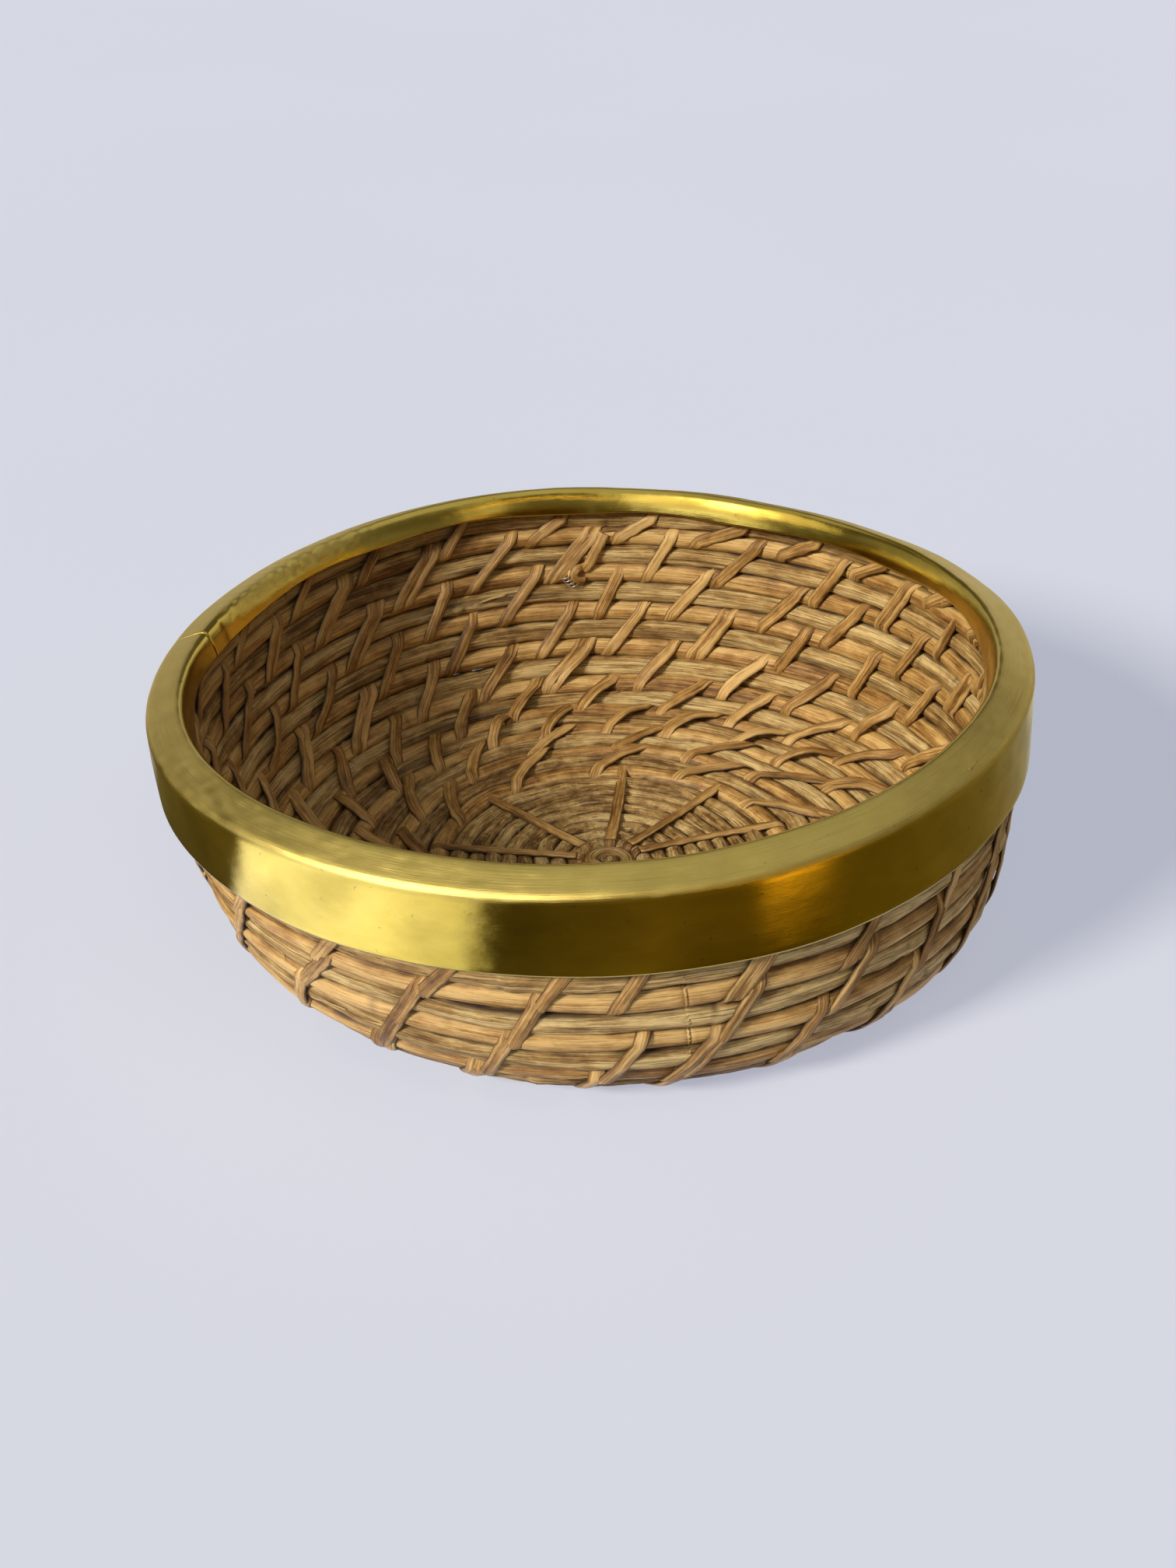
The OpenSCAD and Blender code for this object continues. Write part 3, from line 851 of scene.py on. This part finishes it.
# Its brightness by azimuth, near the floor, higher up, and highest.
PALE, DIM = (1.58, 1.62, 1.80), (0.11, 0.085, 0.022)
ROOM_LOW = [(-180, DIM), (-161, DIM), (-157, PALE), (-130, PALE), (-111, (1.3, 1.33, 1.4)),
            (-108, DIM), (-94, (0.12, 0.09, 0.02)), (-80, (0.13, 0.09, 0.015)),
            (-66, (0.12, 0.08, 0.008)), (-46, (0.12, 0.085, 0.008)), (-30, (0.13, 0.095, 0.02)),
            (-8, (0.20, 0.16, 0.06)), (12, (0.34, 0.30, 0.18)), (34, (0.75, 0.70, 0.56)),
            (60, (0.62, 0.58, 0.47)), (76, (0.16, 0.14, 0.09)), (100, DIM), (120, (0.70, 0.65, 0.52)),
            (150, (0.55, 0.50, 0.40)), (164, DIM), (180, DIM)]
ROOM_HIGH = [(-180, 0.12), (-157, 0.16), (-152, 1.0), (-114, 1.1), (-108, 0.35), (-98, 0.14),
             (-72, 0.14), (-63, 0.7), (-58, 0.7), (-52, 0.14), (-20, 0.22), (20, 0.60), (60, 0.78),
             (100, 0.48), (140, 0.36), (180, 0.16)]
ROOM_UPPER = [(-180, 0.12), (-174, 1.15), (-150, 1.35), (-106, 1.45), (-101, 0.16), (-72, 0.12),
              (-64, 0.14), (-62, 0.9), (-59, 0.8), (-56, 0.12), (0, 0.12), (30, 0.14), (80, 0.12),
              (118, 0.12), (124, 0.45), (130, 0.14), (180, 0.10)]


def room():
    """What the brass reflects: a dish of card round the bowl, bright and dark by turns.
    It shows in reflections only."""
    m = Nodes("room_card")
    co = m.coords()
    sep = m.new("ShaderNodeSeparateXYZ")
    m.link(co, sep.inputs[0])
    z = sep.outputs["Z"]
    azimuth = m.math("ARCTAN2", sep.outputs["Y"], sep.outputs["X"])
    azimuth = m.math("ADD", m.math("DIVIDE", azimuth, 2 * math.pi), 0.5)    # 0 to 1 for -180 to 180

    def by_azimuth(stops):
        return m.ramp(azimuth, [((d + 180) / 360, c) for d, c in stops])

    def above(lo, hi):
        """0 below height lo, 1 above hi."""
        return m.math("DIVIDE", m.math("SUBTRACT", z, lo), hi - lo, True)

    low = by_azimuth(ROOM_LOW)
    high = by_azimuth([(d, (b, b * 0.95, b * 0.84)) for d, b in ROOM_HIGH])
    upper = by_azimuth([(d, (b, b * 0.90, b * 0.70)) for d, b in ROOM_UPPER])
    # the near dish breaks up in uneven patches, as a room does
    patch = m.ramp(m.noise(co, (9, 9, 9), 3.0, 0.6),
                   [(0.36, (0.45, 0.45, 0.45)), (0.52, WHITE), (0.66, (1.5, 1.5, 1.5))])
    col = m.mix(0.6, low, m.mix(1.0, low, patch, "MULTIPLY"))
    # a lamp low down in the front on the right
    lamp = by_azimuth([(-63, BLACK), (-59, WHITE), (-53, WHITE), (-46, BLACK)])
    blot = m.ramp(m.noise(co, (16, 16, 16), 3.0, 0.6), [(0.36, (0.1, 0.1, 0.1)), (0.56, WHITE)])
    lamp = m.math("MULTIPLY", m.math("MULTIPLY", lamp, blot), above(0.006, 0.026))
    col = m.mix(lamp, col, (1.7, 0.95, 0.10))
    col = m.mix(above(0.10, 0.22), col, high)
    col = m.mix(above(0.30, 0.40), col, upper)
    # a narrow warm bar, higher up in the front
    bar = by_azimuth([(-101, BLACK), (-98, WHITE), (-58, WHITE), (-54, BLACK)])
    in_bar = m.math("MULTIPLY", above(0.43, 0.45), m.math("SUBTRACT", 1.0, above(0.48, 0.50)))
    col = m.mix(m.math("MULTIPLY", bar, in_bar), col, (2.2, 1.45, 0.5))
    col = m.mix(above(0.72, 0.95), col, (0.52, 0.52, 0.50))
    m.glow(col)
    stage_piece("room", *round_wall(ROOM_PROFILE, 144), m.mat,
                ("camera", "diffuse", "shadow", "transmission", "volume_scatter"))


def sun(name, azimuth, elevation, strength, angle, rgb):
    li = bpy.data.lights.new(name, "SUN")
    li.energy = strength
    li.angle = angle * RAD
    li.color = rgb
    az, el = azimuth * RAD, elevation * RAD
    ob = bpy.data.objects.new(name, li)
    ray = -Vector((math.cos(az) * math.cos(el), math.sin(az) * math.cos(el), math.sin(el)))
    ob.rotation_euler = ray.to_track_quat("-Z", "Y").to_euler()
    bpy.context.scene.collection.objects.link(ob)


floor()
backdrop()
room()
sun("key", -141, 31, 3.6, 14, (1.0, 0.955, 0.87))
sun("soft", -60, 60, 0.36, 50, (1.0, 0.96, 0.88))

world = bpy.data.worlds.new("studio")
bpy.context.scene.world = world
world.use_nodes = True
bg = world.node_tree.nodes["Background"]
bg.inputs["Color"].default_value = (1.0, 0.85, 0.64, 1)
bg.inputs["Strength"].default_value = 0.14

# the camera: where it stands, then how it is turned from looking at the rim's centre
ELEVATION, YAW, TILT, ROLL = 26.98 * RAD, 0.026 * RAD, -4.034 * RAD, -1.002 * RAD
DISTANCE, TARGET_Z, LENS = 0.6843, 0.095, 45.52
back = Vector((0, -math.cos(ELEVATION), math.sin(ELEVATION)))
pos = back * DISTANCE + Vector((0, 0, TARGET_Z))
fwd, right = -back, Vector((1, 0, 0))
up = right.cross(fwd)
fwd, right = fwd * math.cos(YAW) + right * math.sin(YAW), right * math.cos(YAW) - fwd * math.sin(YAW)
fwd, up = fwd * math.cos(TILT) + up * math.sin(TILT), up * math.cos(TILT) - fwd * math.sin(TILT)
right, up = right * math.cos(ROLL) + up * math.sin(ROLL), up * math.cos(ROLL) - right * math.sin(ROLL)
cam_data = bpy.data.cameras.new("camera")
cam_data.sensor_fit = "AUTO"
cam_data.sensor_width = 36
cam_data.lens = LENS
cam_data.clip_start = 0.01
cam = bpy.data.objects.new("camera", cam_data)
cam.matrix_world = Matrix(((right.x, up.x, -fwd.x, pos.x), (right.y, up.y, -fwd.y, pos.y),
                           (right.z, up.z, -fwd.z, pos.z), (0, 0, 0, 1)))
bpy.context.scene.collection.objects.link(cam)
bpy.context.scene.camera = cam

bpy.context.scene.view_settings.view_transform = "Standard"
